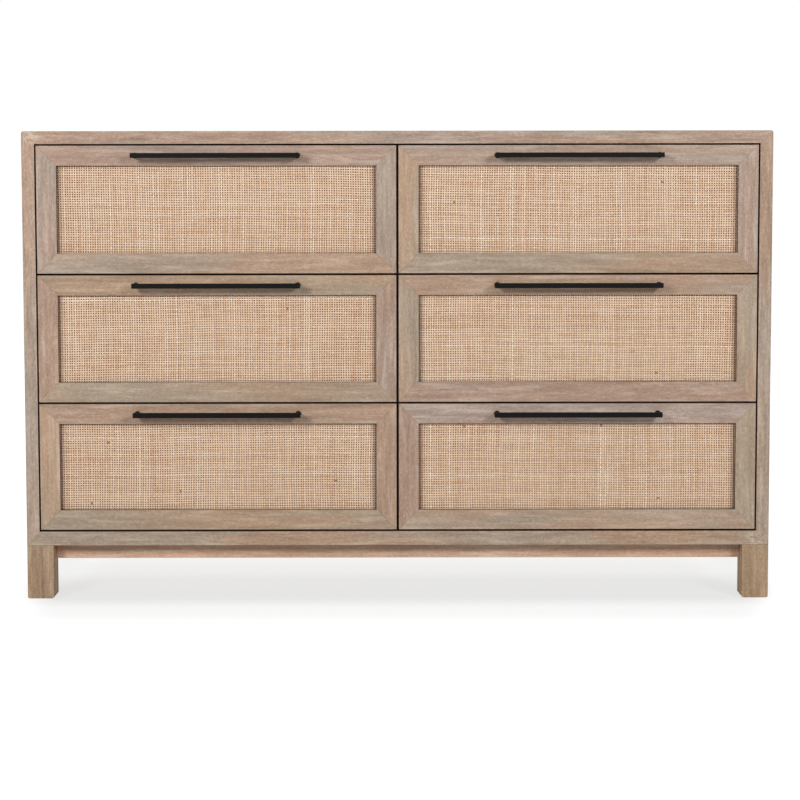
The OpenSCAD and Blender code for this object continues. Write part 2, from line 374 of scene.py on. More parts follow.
# ---------------------------------------------------------------- materials

def srgb(r, g, b):
    """A colour given on the 0 to 255 display scale, as linear RGBA."""
    def linear(c):
        c /= 255
        return c / 12.92 if c <= 0.04045 else ((c + 0.055) / 1.055) ** 2.4
    return (linear(r), linear(g), linear(b), 1.0)


class Paint:
    """A material's nodes, with short calls for the kinds that this scene uses."""

    def __init__(self, name):
        self.material = bpy.data.materials.new(name)
        self.material.use_nodes = True
        self.tree = self.material.node_tree
        self.tree.nodes.clear()
        self.shader = self.make("ShaderNodeBsdfPrincipled")
        out = self.make("ShaderNodeOutputMaterial")
        self.link(self.shader.outputs["BSDF"], out.inputs["Surface"])

    def make(self, kind, **settings):
        node = self.tree.nodes.new(kind)
        for key, value in settings.items():
            setattr(node, key, value)
        return node

    def link(self, source, target):
        if hasattr(source, "is_output"):
            self.tree.links.new(source, target)
        else:
            target.default_value = source

    def attribute(self, name, part="Vector"):
        return self.make("ShaderNodeAttribute", attribute_name=name).outputs[part]

    def split(self, vector):
        node = self.make("ShaderNodeSeparateXYZ")
        self.link(vector, node.inputs[0])
        return node.outputs

    def join(self, x, y, z):
        node = self.make("ShaderNodeCombineXYZ")
        for value, socket in zip((x, y, z), node.inputs):
            self.link(value, socket)
        return node.outputs[0]

    def stretch(self, vector, scale):
        node = self.make("ShaderNodeVectorMath", operation="MULTIPLY")
        self.link(vector, node.inputs[0])
        node.inputs[1].default_value = scale
        return node.outputs[0]

    def noise(self, vector, scale, detail=3.0, roughness=0.5, distortion=0.0):
        node = self.make("ShaderNodeTexNoise")
        self.link(self.stretch(vector, scale), node.inputs["Vector"])
        node.inputs["Scale"].default_value = 1.0
        node.inputs["Detail"].default_value = detail
        node.inputs["Roughness"].default_value = roughness
        node.inputs["Distortion"].default_value = distortion
        return node.outputs[0]

    def math(self, operation, a, b=0.0, clamp=False):
        node = self.make("ShaderNodeMath", operation=operation, use_clamp=clamp)
        self.link(a, node.inputs[0])
        self.link(b, node.inputs[1])
        return node.outputs[0]

    def ramp(self, value, low, high, to_low=0.0, to_high=1.0):
        node = self.make("ShaderNodeMapRange", interpolation_type="SMOOTHSTEP")
        for key, number in (
            ("From Min", low), ("From Max", high), ("To Min", to_low), ("To Max", to_high),
        ):
            node.inputs[key].default_value = number
        self.link(value, node.inputs["Value"])
        return node.outputs[0]

    def mix(self, share, a, b, blend="MIX"):
        node = self.make("ShaderNodeMix", data_type="RGBA", blend_type=blend)
        self.link(share, node.inputs[0])
        self.link(a, node.inputs[6])
        self.link(b, node.inputs[7])
        return node.outputs[2]

    def bump(self, height, distance, strength=1.0):
        node = self.make("ShaderNodeBump")
        node.inputs["Strength"].default_value = strength
        node.inputs["Distance"].default_value = distance
        self.link(height, node.inputs["Height"])
        self.link(node.outputs["Normal"], self.shader.inputs["Normal"])

    def set(self, **values):
        for key, value in values.items():
            self.link(value, self.shader.inputs[key.replace("_", " ")])


def wood(name, colours, patch=1.0, wash=1.0, gloss=0.58, rubbed=(), staves=False):
    """Limed hardwood: drifting warm and grey patches, streaks, rings and wash-filled pores. Faces
    whose value is below 0 are darkened as painted shade. The wash lies thicker round the points in
    rubbed, each with its reach. A wide panel is made of staves, each with its own grain."""
    grey, warm, light, dark = (srgb(*c) for c in colours)
    p = Paint(name)
    grain = p.attribute("grain")
    warmth, value, figure = p.split(p.attribute("tone"))
    place_in = p.split(grain)
    if staves:
        number = p.math("FLOOR", p.math("DIVIDE", place_in[2], STAVE_W))
        luck = p.make("ShaderNodeTexWhiteNoise", noise_dimensions="1D")
        p.link(p.math("ADD", number, p.math("MULTIPLY", figure, 17.0)), luck.inputs["W"])
        luck = luck.outputs["Value"]
        grain = p.join(
            p.math("ADD", place_in[0], p.math("MULTIPLY", luck, 9.0)),
            p.math("ADD", place_in[1], p.math("MULTIPLY", luck, 5.0)), place_in[2],
        )
        warmth = p.math("ADD", warmth, p.math("MULTIPLY", p.math("SUBTRACT", luck, 0.5), 0.6))
        part = p.math("FRACT", p.math("DIVIDE", place_in[2], STAVE_W))
        joint = p.ramp(part, SEAM_W / STAVE_W, 0.0, 0.0, 0.5)
    drift = p.noise(grain, (2.0, 13, 13), 3, 0.55, 0.3)
    drift = p.math("ADD", drift, p.math("MULTIPLY", p.math("SUBTRACT", warmth, 0.5), 0.16))
    streak = p.noise(grain, (4, 140, 140), 4, 0.6, 0.3)
    fibre = p.noise(grain, (60, 900, 900), 2, 0.6)
    flow = p.noise(grain, (4, 26, 26), 2, 0.5, 1.2)
    flecks = p.noise(grain, (130, 640, 640), 2.5, 0.62, 0.3)
    mottle = p.noise(grain, (170, 340, 340), 3, 0.68, 0.5)
    cloud = p.noise(grain, (11, 95, 95), 3, 0.6, 0.3)
    depth = p.math("ADD", place_in[1], p.math("MULTIPLY", place_in[2], 0.6))
    phase = p.math("ADD", p.math("MULTIPLY", depth, 420), p.math("MULTIPLY", flow, 34))
    rings = p.math("MULTIPLY", p.ramp(p.math("SINE", phase), 0.2, 1.0),
                   p.ramp(figure, 0.0, 1.0, 0.06, 0.24))
    colour = p.mix(p.ramp(drift, 0.38, 0.62), grey, warm)
    colour = p.mix(p.ramp(streak, 0.48, 0.72, 0.0, 0.34 * patch), colour, dark)
    colour = p.mix(p.ramp(streak, 0.46, 0.30, 0.0, 0.38 * wash), colour, light)
    colour = p.mix(rings, colour, dark)
    colour = p.mix(p.ramp(flecks, 0.43, 0.30, 0.0, 0.34 * patch), colour, dark)
    colour = p.mix(p.ramp(flecks, 0.56, 0.72, 0.0, 0.34 * wash), colour, light)
    colour = p.mix(p.ramp(mottle, 0.48, 0.32, 0.0, 0.40 * patch), colour, dark)
    colour = p.mix(p.ramp(mottle, 0.52, 0.68, 0.0, 0.46 * wash), colour, light)
    colour = p.mix(p.ramp(cloud, 0.50, 0.30, 0.0, 0.34 * patch), colour, dark)
    colour = p.mix(p.ramp(cloud, 0.52, 0.70, 0.0, 0.40 * wash), colour, light)
    if staves:
        colour = p.mix(joint, colour, dark)
    colour = p.mix(p.ramp(fibre, 0.40, 0.70, 0.0, 0.14), colour, light)
    face = p.attribute("worn", "Fac")
    worn = p.math("MULTIPLY", face, p.ramp(streak, 0.35, 0.60, 0.05, 0.35), True)
    colour = p.mix(worn, colour, light)
    # Painted shade: faces below 0 darken towards the shade colour.
    colour = p.mix(p.ramp(face, 0.0, FULL_PAINTED_SHADE, 0.0, 0.85), colour, srgb(*PAINTED_SHADE_COLOUR))
    for point, reach in rubbed:
        away = p.make("ShaderNodeVectorMath", operation="DISTANCE")
        p.link(p.make("ShaderNodeTexCoord").outputs["Object"], away.inputs[0])
        away.inputs[1].default_value = point
        near = p.ramp(away.outputs["Value"], reach, 0.3 * reach)
        near = p.math("MULTIPLY", near, p.ramp(mottle, 0.42, 0.60, 0.0, 0.8))
        colour = p.mix(near, colour, light)
    level = p.math("MULTIPLY", value, VALUE_SPREAD)
    level = p.math("ADD", level, p.ramp(flow, 0.3, 0.7, 0.93, 1.07))
    blue = p.math("ADD", 1 - BLUE_SPREAD / 2, p.math("MULTIPLY", figure, BLUE_SPREAD))
    blue = p.math("MULTIPLY", level, blue)
    colour = p.mix(1.0, colour, p.join(level, level, blue), "MULTIPLY")
    p.set(Base_Color=colour, Specular_IOR_Level=0.32)
    p.set(Roughness=p.ramp(flecks, 0.3, 0.7, gloss - 0.06, gloss + 0.08))
    height = p.math("ADD", p.math("MULTIPLY", flecks, 0.6), p.math("MULTIPLY", fibre, 0.4))
    p.bump(height, 0.4 * MM, 0.35)
    return p.material


# Each wood's grey, warm, light and dark colours
CASE_COLOURS = ((163, 146, 131), (171, 140, 117), (201, 183, 164), (120, 95, 76))
FRONT_COLOURS = ((163, 146, 130), (172, 140, 117), (200, 182, 165), (122, 99, 81))
BASE_COLOURS = ((162, 136, 110), (166, 129, 97), (194, 174, 148), (118, 90, 66))
# Painted light: the aprons' wood is lighter than the legs', standing in for the light their recess
# keeps off.
APRON_COLOURS = ((198, 164, 137), (200, 158, 127), (222, 198, 172), (158, 122, 97))
BOX_COLOURS = ((196, 176, 148), (198, 164, 126), (216, 200, 174), (158, 122, 86))
PLY_COLOURS = ((188, 161, 129), (190, 156, 120), (206, 183, 153), (146, 114, 84))
BACKING_COLOURS = ((112, 66, 32), (120, 68, 30), (126, 80, 42), (84, 48, 22))


def cane():
    """Peeled rattan: peach, cream and tan strands with fine streaks, darkened at scars and by
    painted shade.
    """
    p = Paint("natural_cane")
    grain = p.attribute("grain")
    light, tan, scar_and_shade = p.split(p.attribute("tone"))
    streak = p.noise(grain, (18, 1600, 1600), 3, 0.6)
    length = p.noise(grain, (16, 3, 3), 3, 0.6)
    peach, cream = srgb(230, 203, 176), srgb(245, 231, 209)
    brown, scar_and_shade_colour = srgb(204, 154, 115), srgb(112, 70, 45)
    colour = p.mix(p.ramp(light, 0.42, 0.95), peach, cream)
    tan_share = p.math("ADD", p.ramp(length, 0.44, 0.66, 0.0, 0.46),
                       p.ramp(tan, 0.66, 1.0, 0.0, 0.32), True)
    colour = p.mix(tan_share, colour, brown)
    colour = p.mix(p.ramp(streak, 0.45, 0.75, 0.0, 0.22), colour, brown)
    # The third tone darkens the strands at scars and in the painted shade by the side lips.
    colour = p.mix(p.math("MULTIPLY", scar_and_shade, 0.9), colour, scar_and_shade_colour)
    p.set(Base_Color=colour, Specular_IOR_Level=0.4)
    p.set(Roughness=p.ramp(streak, 0.3, 0.7, 0.40, 0.55))
    p.bump(streak, 0.1 * MM, 0.4)
    return p.material


def black_metal():
    """Matt black powder coat with its fine orange-peel texture."""
    p = Paint("black_powder_coat")
    here = p.make("ShaderNodeTexCoord").outputs["Object"]
    peel = p.noise(here, (900, 900, 900), 2)
    cloud = p.noise(here, (30, 30, 30))
    p.set(Base_Color=p.mix(cloud, srgb(14, 14, 13), srgb(20, 19, 18)), Specular_IOR_Level=0.12)
    p.set(Roughness=p.ramp(peel, 0.3, 0.7, 0.42, 0.56))
    p.bump(peel, 0.12 * MM, 0.5)
    return p.material


def zinc():
    """Bright zinc-plated steel, faintly spangled and rolled along the strip."""
    p = Paint("zinc_plate")
    here = p.make("ShaderNodeTexCoord").outputs["Object"]
    rolled = p.noise(here, (700, 25, 700), 3, 0.6)
    spangle = p.noise(here, (160, 120, 160), 2)
    p.set(Base_Color=p.mix(spangle, srgb(176, 178, 180), srgb(206, 206, 203)), Metallic=1.0)
    p.set(Roughness=p.ramp(rolled, 0.3, 0.7, 0.26, 0.42))
    p.bump(rolled, 0.08 * MM, 0.4)
    return p.material


def nylon():
    """Off-white moulded nylon, scuffed."""
    p = Paint("nylon")
    here = p.make("ShaderNodeTexCoord").outputs["Object"]
    scuff = p.noise(here, (240, 420, 240), 3, 0.65)
    p.set(Base_Color=p.mix(p.ramp(scuff, 0.5, 0.75), srgb(222, 218, 208), srgb(176, 170, 158)))
    p.set(Roughness=p.ramp(scuff, 0.3, 0.7, 0.42, 0.6))
    p.bump(scuff, 0.1 * MM, 0.3)
    return p.material


def from_front(span):
    """The two ends of a span that is measured from the case's front, as places along y."""
    return FRONT_Y + span[0], FRONT_Y + span[1]


def pale_floor():
    """A plain pale floor, lit from below like a light table. It glows less under and in front of
    the dresser, and only a share of the glow lights the dresser."""
    p = Paint("studio_floor")
    here = p.make("ShaderNodeTexCoord").outputs["Object"]
    cloud = p.noise(here, (0.8, 0.8, 0.8), 2)
    p.set(Base_Color=p.mix(cloud, srgb(112, 112, 112), srgb(116, 116, 116)), Roughness=0.9)
    p.set(Specular_IOR_Level=0.0, Emission_Color=(1.0, 1.0, 1.0, 1.0))
    x, y, _ = p.split(here)
    # Painted shadow: the glow dims under, in front of and close beside the dresser.
    aside = p.math("SUBTRACT", p.math("ABSOLUTE", x), p.math("MULTIPLY", y, SHADE_SPREAD))
    edge = SIDE_X - SHADE_SPREAD * FRONT_Y
    across = p.ramp(aside, edge + SHADE_SIDE[0], edge + SHADE_SIDE[1])
    near = p.ramp(y, *from_front(SHADE_NEAR), 0.0, NEAR_SHARE)
    far = p.ramp(y, *from_front(SHADE_FAR), 0.0, 1 - NEAR_SHARE)
    along = p.math("MULTIPLY", p.math("ADD", near, far), p.ramp(y, SHADE_BACK_Y, BACK_Y))
    dim = p.ramp(y, *from_front(SHADE_UNDER), FLOOR_GLOW - NEAR_GLOW, FLOOR_GLOW - UNDER_GLOW)
    dim = p.math("MULTIPLY", dim, p.math("MULTIPLY", across, along))
    glow = p.math("SUBTRACT", FLOOR_GLOW, dim)
    seen = p.make("ShaderNodeLightPath").outputs["Is Camera Ray"]
    share = p.math("ADD", p.math("MULTIPLY", seen, 1 - FLOOR_BOUNCE), FLOOR_BOUNCE)
    p.set(Emission_Strength=p.math("MULTIPLY", glow, share))
    return p.material


WASHED_CORNERS = (
    ((-SIDE_X + 20 * MM, FRONT_Y, CASE_TOP - 12 * MM), 20 * MM),
    ((SIDE_X - 30 * MM, FRONT_Y, CASE_FOOT + 10 * MM), 26 * MM),
)
CASE_WOOD = wood("limed_case_wood", CASE_COLOURS, rubbed=WASHED_CORNERS, staves=True)
BASE_WOOD = wood("limed_base_wood", BASE_COLOURS)
# The aprons' lighter wood is painted light.
APRON_WOOD = wood("limed_apron_wood", APRON_COLOURS)
FRONT_WOOD = wood("limed_front_wood", FRONT_COLOURS, patch=0.8)
BOX_WOOD = wood("pale_drawer_wood", BOX_COLOURS, patch=0.7, wash=0.6, gloss=0.48)
PLY_WOOD = wood("plywood", PLY_COLOURS, patch=0.6, wash=0.5, gloss=0.62)
BACKING_WOOD = wood("brown_backing_board", BACKING_COLOURS, wash=0.4, gloss=0.7)
CANE = cane()
BLACK = black_metal()
ZINC = zinc()
NYLON = nylon()


# ---------------------------------------------------------------- case and base

def corner_arc(x_sign, z_sign, radius, first, last, steps=5):
    """Points of a rounded case corner. 0 degrees faces sideways, 90 degrees up or down."""
    x = x_sign * (SIDE_X - radius)
    z = CASE_TOP - radius if z_sign > 0 else CASE_FOOT + radius
    turns = [math.radians(first + (last - first) * k / steps) for k in range(steps + 1)]
    return [
        (x + x_sign * radius * math.cos(t), z + z_sign * radius * math.sin(t)) for t in turns
    ]


def inner_corner(x_sign, z_sign):
    """The inner end of a mitre, and the point on the mitre where the back's rebate starts."""
    inner = Vector((x_sign * INNER_X, INNER_TOP if z_sign > 0 else INNER_FOOT))
    outer = Vector((x_sign * SIDE_X, CASE_TOP if z_sign > 0 else CASE_FOOT))
    return tuple(inner), tuple(inner + (outer - inner) * REBATE_W / (SIDE_X - INNER_X))


def case_panel(node, outer, first, last, along):
    """A mitred panel, rebated at the back, with shade painted on its inner faces. Its outline from
    the front runs along outer and then between the two inner corners first and last."""
    (inner_a, rebate_a), (inner_b, rebate_b) = inner_corner(*first), inner_corner(*last)
    full = outer + [rebate_a, inner_a, inner_b, rebate_b]
    cut = outer + [rebate_a, rebate_a, rebate_b, rebate_b]
    rings = ((full, FRONT_Y), (full, REBATE_Y), (cut, REBATE_Y), (cut, BACK_Y))
    bm = loft([[(x, y, z) for x, z in outline] for outline, y in rings])
    ease_mitred(bm, FRONT_Y, CASE_EASE)
    # Painted shade on the faces inside the case.
    paint_shade(bm, lambda at: abs(at.x) < INNER_X + MM and INNER_FOOT - MM < at.z < INNER_TOP + MM)
    piece = Piece(node + "_wood", "root", [node], "case_wood")
    piece.add(bm, along)
    piece.build(CASE_WOOD)


def make_case():
    """Top, bottom and sides with their mitres, the partition and the back."""
    for node, z_sign, radius in (("top_panel", 1, CORNER_R), ("bottom_panel", -1, CASE_EASE)):
        outer = corner_arc(-1, z_sign, radius, 45, 90) + corner_arc(1, z_sign, radius, 90, 45)
        case_panel(node, outer, (1, z_sign), (-1, z_sign), "x")
    for node, x_sign in (("left_side_panel", -1), ("right_side_panel", 1)):
        outer = corner_arc(x_sign, 1, CORNER_R, 45, 0) + corner_arc(x_sign, -1, CASE_EASE, 0, 45)
        case_panel(node, outer, (x_sign, -1), (x_sign, 1), "z")
    piece = Piece("partition_board", "root", ["centre_partition"], "case_wood")
    partition = board(*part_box("centre_partition"))
    # Painted shade over the whole partition, so its front edge reads dark in the centre gap.
    paint_shade(partition, lambda at: True, most_forward=2.0)
    piece.add(partition, "z")
    piece.build(CASE_WOOD)
    piece = Piece("back_board", "root", ["back_panel"], "plywood")
    piece.add(board(*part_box("back_panel")), "x")
    piece.build(PLY_WOOD)


def screw_head(centre, axis, radius, height):
    """A domed head with a cross recess."""
    sunk = 0.45 * height
    return turned(
        [
            (0.90 * radius, 0.0), (radius, 0.15 * height), (0.97 * radius, 0.45 * height),
            (0.80 * radius, 0.80 * height), (0.66 * radius, 0.93 * height),
            (0.52 * radius, height), (0.50 * radius, height - sunk),
        ],
        centre, axis, cross, (5, 6),
    )


def make_back_screws():
    """The back's screws: two rows along top and bottom, and three up each side and the middle."""
    lo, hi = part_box("back_screws")
    head_r = BACK_SCREW_R
    aside, above = BACK_SCREW_MARGIN
    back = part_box("back_panel")[1].y
    rows = [(x, z) for x in spread(-INNER_X + aside, INNER_X - aside, BACK_SCREWS_ACROSS)
            for z in (lo.z + head_r, hi.z - head_r)]
    uprights = [(x, z) for x in (lo.x + head_r, 0, hi.x - head_r)
                for z in spread(INNER_FOOT + above, INNER_TOP - above, BACK_SCREWS_UP)]
    piece = Piece("back_screw_heads", "root", ["back_screws"], "zinc_steel")
    for x, z in rows + uprights:
        piece.add(screw_head((x, back, z), (0, 1, 0), head_r, hi.y - back))
    piece.build(ZINC)


def spread(low, high, count):
    """Evenly spaced values from low to high."""
    return [low + (high - low) * k / (count - 1) for k in range(count)]


def make_legs():
    """Square legs with rounded feet and softened arrises."""
    for node in ("front_left_leg", "front_right_leg", "rear_left_leg", "rear_right_leg"):
        lo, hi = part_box(node)
        bm = prism([(lo.x, lo.y), (hi.x, lo.y), (hi.x, hi.y), (lo.x, hi.y)], "z", lo.z, hi.z)

        def level(edge, z):
            return all(abs(v.co.z - z) < TOUCH for v in edge.verts)

        def runs(edge, axis):
            ends = [v.co[axis] for v in edge.verts]
            return abs(ends[0] - ends[1]) > LONG_EDGE

        bevel(bm, [e for e in bm.edges if level(e, lo.z) and runs(e, 1)], FOOT_R, 5)
        bevel(bm, [e for e in bm.edges if level(e, hi.z)], 0.6 * MM, 2, 0.8)
        bevel(bm, [e for e in bm.edges if runs(e, 2)], LEG_EASE)
        piece = Piece(node + "_post", "root", [node], "case_wood")
        piece.add(bm, "z")
        piece.build(BASE_WOOD)


def make_aprons():
    """Aprons between the legs, with their lower edges eased."""
    for node, along in (
        ("front_apron", "x"), ("rear_apron", "x"), ("left_apron", "y"), ("right_apron", "y"),
    ):
        piece = Piece(node + "_rail", "root", [node], "case_wood")
        piece.add(board(*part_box(node), 1.0 * MM), along)
        piece.build(APRON_WOOD)


def make_corner_blocks():
    """Triangular blocks in the corners of the base, and the bolts and washers that hold them."""
    block_z, block_top = (corner.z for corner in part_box("corner_braces"))
    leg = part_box("front_left_leg")
    leg_w = leg[1].x - leg[0].x
    reach, gap = BLOCK_REACH, BLOCK_GAP
    blocks = Piece("corner_blocks", "root", ["corner_braces"], "base_blocks")
    bolts = Piece("corner_bolts", "root", ["corner_braces"], "zinc_steel")
    for sx in (-1, 1):
        for sy in (-1, 1):
            x = sx * (SIDE_X - leg_w)
            y = BACK_Y - leg_w if sy > 0 else FRONT_Y + leg_w
            outline = [
                (x - sx * gap, y - sy * gap), (x - sx * reach, y - sy * gap),
                (x - sx * gap, y - sy * reach),
            ]
            bm = prism(outline, "z", block_z, block_top)
            bevel(bm, list(bm.edges), 0.8 * MM, 2)
            blocks.add(bm, "x")
            out = Vector((-sx, -sy, 0)).normalized()
            face = Vector((x, y, (block_z + block_top) / 2)) + out * reach / math.sqrt(2)
            washer = [(8.4, 0), (8.8, 0.3), (8.8, 1.3), (8.4, 1.6)]
            bolts.add(turned([(r * MM, h * MM) for r, h in washer], face, out))
            head = [(7.0, 1.6), (7.4, 2.0), (7.4, 6.4), (6.6, 7.0), (3.0, 7.1)]
            bolts.add(turned(
                [(r * MM, h * MM) for r, h in head], face, out, hexagon, (0, 1, 2), 36,
            ))
    blocks.build(PLY_WOOD)
    bolts.build(ZINC)


def make_glides():
    """Nylon discs under the legs, each with a rounded rim."""
    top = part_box("foot_glides")[1].z
    piece = Piece("foot_glide_discs", "root", ["foot_glides"], "nylon")
    for node in ("front_left_leg", "front_right_leg", "rear_left_leg", "rear_right_leg"):
        lo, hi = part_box(node)
        centre = ((lo.x + hi.x) / 2, (lo.y + hi.y) / 2, 0)
        rim = [(3.0, 0.5), (3.4, 0.0), (10.8, 0.0), (11.6, 0.3), (12.0, 1.0), (12.0, top / MM)]
        piece.add(turned([(r * MM, h * MM) for r, h in rim], centre, (0, 0, 1)))
    piece.build(NYLON)


# ---------------------------------------------------------------- drawers

def make_front(spot, body):
    """Four mitred, rebated members round the cane. Shade is painted on their side faces: fully on
    the lips and mitres, half on the outermost faces, for the shade in the gaps."""
    node = "front_frame_" + spot
    lo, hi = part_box(node)
    thick = hi.y - lo.y
    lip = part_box("cane_panel_" + spot)[0].y - lo.y
    step = MEMBER_W - LIP_W
    profile = [(0, 0), (0, MEMBER_W), (lip, MEMBER_W), (lip, step), (thick, step), (thick, 0)]
    wide, high = hi.x - lo.x, hi.z - lo.z
    members = (
        ("x", wide, lambda u, v: (lo.x + u, lo.z + v)),
        ("x", wide, lambda u, v: (lo.x + u, hi.z - v)),
        ("z", high, lambda u, v: (lo.x + v, lo.z + u)),
        ("z", high, lambda u, v: (hi.x - v, lo.z + u)),
    )

    def on_rim(at):
        return min(at.x - lo.x, hi.x - at.x, at.z - lo.z, hi.z - at.z) < MM

    piece = Piece(f"{spot}_front_members", body, [node], "drawer_front_wood")
    for along, length, spot_at in members:
        ends = []
        for far in (False, True):
            ring = []
            for y, v in profile:
                x, z = spot_at(length - v - GLUE if far else v + GLUE, v)
                ring.append((x, lo.y + y, z))
            ends.append(ring)
        bm = loft(ends)
        ease_mitred(bm, lo.y, FRAME_EASE)
        # Painted shade on the side faces, and a lighter painted shade on the outer rim that faces
        # the gaps.
        paint_shade(bm, lambda at: True)
        paint_shade(bm, on_rim, HALF_PAINTED_SHADE)
        piece.add(bm, along)
    piece.build(FRONT_WOOD)


def strands(centres, crossings, low, high, pitch, parity, rng):
    """One family of strands. Returns its vertices as (across, along, out), tone and texture
    coordinates, and faces. A strand passes over every second crossing."""
    count, rings = len(centres), 2 * len(crossings)
    along = np.empty(rings)
    along[0::2] = crossings - STRAND_HOLD * pitch
    along[1::2] = crossings + STRAND_HOLD * pitch
    along[0], along[-1] = low, high
    over = (np.arange(count)[:, None] + np.arange(rings)[None, :] // 2 + parity) % 2 * 2.0 - 1
    wander = smooth_noise(rng, count, rings, 7) * WANDER
    half = STRAND_W / 2 * (1 + rng.uniform(*WIDTH_SPREAD, count))[:, None]
    half = half * (1 + WIDTH_WAVER * smooth_noise(rng, count, rings, 3))
    middle = centres[:, None] + wander + rng.uniform(-OFF_LINE, OFF_LINE, count)[:, None]
    section = ((-1, 1), (1, 1), (STRAND_TOP, -1), (-STRAND_TOP, -1))
    points = np.empty((count, rings, 4, 3))
    for k, (side, out) in enumerate(section):
        points[:, :, k, 0] = middle + side * half
        points[:, :, k, 1] = along[None, :]
        points[:, :, k, 2] = over * STRAND_LIFT + out * STRAND_T / 2
    texture = np.empty_like(points)
    texture[..., 0] = points[..., 1] + rng.uniform(0, 30, count)[:, None, None]
    texture[..., 1] = points[..., 0] - centres[:, None, None]
    texture[..., 1] += rng.uniform(0, 9, count)[:, None, None]
    texture[..., 2] = points[..., 2]
    tone = np.empty_like(points)
    tone[..., 0] = np.clip(rng.normal(*LIGHTNESS, count), 0, 1)[:, None, None]
    tone[..., 1] = rng.random(count)[:, None, None]
    scars = (rng.random((count, rings // 2)) < SCAR_CHANCE).repeat(2, axis=1)
    tone[..., 2] = scars[:, :, None]
    start = np.arange(count * rings).reshape(count, rings)[:, :-1, None] * 4
    k = np.arange(4)
    n = (k + 1) % 4
    quads = np.stack([start + k, start + n, start + 4 + n, start + 4 + k], axis=-1)
    first = np.arange(count)[:, None] * rings * 4 + np.array([3, 2, 1, 0])
    last = np.arange(count)[:, None] * rings * 4 + (rings - 1) * 4 + k
    faces = np.concatenate([quads.reshape(-1, 4), first, last])
    return points.reshape(-1, 3), texture.reshape(-1, 3), tone.reshape(-1, 3), faces


def smooth_noise(rng, count, length, reach):
    """Rows of random values that change smoothly along each row, about -1 to 1."""
    raw = rng.normal(0, 1, (count, length + 6 * reach))
    kernel = np.hanning(2 * reach + 3)
    kernel /= np.sqrt((kernel ** 2).sum())
    rows = [np.convolve(row, kernel, "same")[3 * reach:3 * reach + length] for row in raw]
    return np.array(rows) * 0.5


def make_cane(spot, body, number):
    """Woven cane: each strand is its own solid that goes over and under the others."""
    node = "cane_panel_" + spot
    lo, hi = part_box(node)
    rng = np.random.default_rng(100 + number)
    size = (hi.x - lo.x, hi.z - lo.z)
    counts = [round(size[0] / CANE_PITCH_X), round(size[1] / CANE_PITCH_Z)]
    pitches = [size[k] / counts[k] for k in (0, 1)]
    xs = lo.x + (np.arange(counts[0]) + 0.5) * pitches[0]
    zs = lo.z + (np.arange(counts[1]) + 0.5) * pitches[1]
    middle_y = (lo.y + hi.y) / 2
    up = strands(xs, zs, lo.z, hi.z, pitches[1], 0, rng)
    level = strands(zs, xs, lo.x, hi.x, pitches[0], 1, rng)
    points = np.concatenate([up[0], level[0][:, [1, 0, 2]]])
    points = np.stack([points[:, 0], middle_y + points[:, 2], points[:, 1]], axis=-1)
    phase = rng.uniform(0, 2 * math.pi, 5)
    x, z = points[:, 0].copy(), points[:, 2].copy()
    inside_x = np.minimum(1, np.minimum(x - lo.x, hi.x - x) / WAVE_FADE).clip(0)
    inside_z = np.minimum(1, np.minimum(z - lo.z, hi.z - z) / WAVE_FADE).clip(0)
    lean = CANE_LEAN * np.sin(phase[4]) * (x - (lo.x + hi.x) / 2)
    points[:, 0] += inside_x * WAVE * (
        np.sin(x * 11 + z * 17 + phase[0]) + np.sin(z * 31 - x * 5 + phase[1])
    )
    points[:, 2] += inside_z * (lean + WAVE * (
        np.sin(x * 13 + phase[2]) + np.sin(x * 29 + z * 9 + phase[3])
    ))
    faces = np.concatenate([up[3], level[3][:, ::-1] + len(up[0])])
    tones = np.concatenate([up[2], level[2]])
    # Painted shade: strands near the side lips darken, standing in for the lips' shadow on the cane.
    seen = np.minimum(points[:, 0] - lo.x, hi.x - points[:, 0]) - LIP_W
    edge_shade = CANE_EDGE_SHADE * (1 - seen / CANE_EDGE_SHADE_REACH).clip(0, 1)
    tones[:, 2] = np.maximum(tones[:, 2], edge_shade)
    mesh = bpy.data.meshes.new(f"{spot}_cane_weave")
    mesh.from_pydata(points, [], faces)
    for name, values in (("grain", np.concatenate([up[1], level[1]])), ("tone", tones)):
        layer = mesh.attributes.new(name, "FLOAT_VECTOR", "POINT")
        layer.data.foreach_set("vector", values.astype(np.float32).ravel())
    place(f"{spot}_cane_weave", mesh, body, [node], "cane", [CANE])


def make_backing(spot, body):
    """The brown board behind the cane."""
    node = "backing_panel_" + spot
    piece = Piece(f"{spot}_backing_board", body, [node], "backing_board")
    piece.add(board(*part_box(node), 0.4 * MM), "x")
    piece.build(BACKING_WOOD)


def tail_edge(z0, z1, y, inward):
    """The dovetailed end of a side board as (y, z), from its lower to its upper edge."""
    pitch = (z1 - z0) / TAILS
    deep = y + inward * BOX_T
    points = [(deep, z0), (deep, z0 + PIN_ROOT / 2), (y, z0 + PIN_TIP / 2)]
    for k in range(1, TAILS):
        z = z0 + k * pitch
        points += [(y, z - PIN_TIP / 2), (deep, z - PIN_ROOT / 2)]
        points += [(deep, z + PIN_ROOT / 2), (y, z + PIN_TIP / 2)]
    return points + [(y, z1 - PIN_TIP / 2), (deep, z1 - PIN_ROOT / 2), (deep, z1)]


def pins(z0, z1, y, inward):
    """The pins between the tails, as outlines in (y, z)."""
    deep = y + inward * BOX_T
    pitch = (z1 - z0) / TAILS
    gap = GLUE
    found = [[(y, z0), (deep, z0), (deep, z0 + PIN_ROOT / 2 - gap), (y, z0 + PIN_TIP / 2 - gap)]]
    for k in range(1, TAILS):
        z = z0 + k * pitch
        found.append([
            (y, z - PIN_TIP / 2 + gap), (deep, z - PIN_ROOT / 2 + gap),
            (deep, z + PIN_ROOT / 2 - gap), (y, z + PIN_TIP / 2 - gap),
        ])
    found.append([
        (y, z1), (deep, z1), (deep, z1 - PIN_ROOT / 2 + gap), (y, z1 - PIN_TIP / 2 + gap),
    ])
    return found


